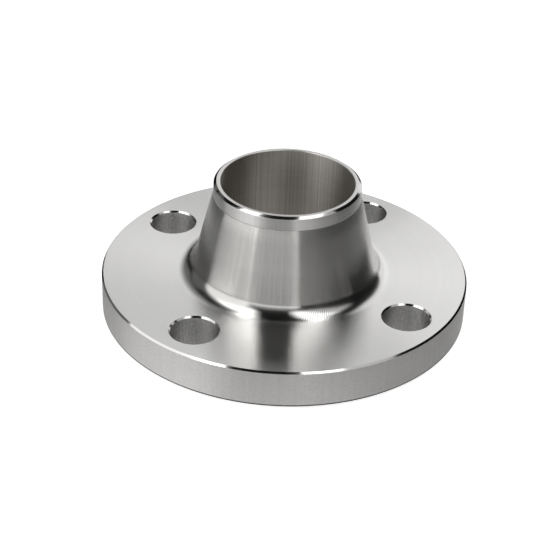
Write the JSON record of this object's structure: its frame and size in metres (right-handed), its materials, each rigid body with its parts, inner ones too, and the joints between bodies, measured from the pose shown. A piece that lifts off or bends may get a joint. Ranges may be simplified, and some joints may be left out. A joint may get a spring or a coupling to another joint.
{
  "type": "weld neck flange",
  "caption": "Weld neck pipe flange in turned stainless steel: a round drilled plate with a raised gasket face, a tapered hub and a bevelled pipe end.",
  "frame": {"origin": "centre of the raised gasket face, on the bore axis", "axes": "+Z along the bore axis, from the gasket face towards the weld end; the bolt holes straddle X and Y, at 45 degrees to them"},
  "size_m": [0.1524, 0.1524, 0.0586],
  "materials": {
    "turned_stainless_steel": "turned all over on a lathe to a satin finish, with fine rings round the axis, drilled bolt holes and bright chamfers"
  },
  "bodies": {
    "root": {"weld_neck_flange": "turned_stainless_steel"}
  },
  "joints": []
}
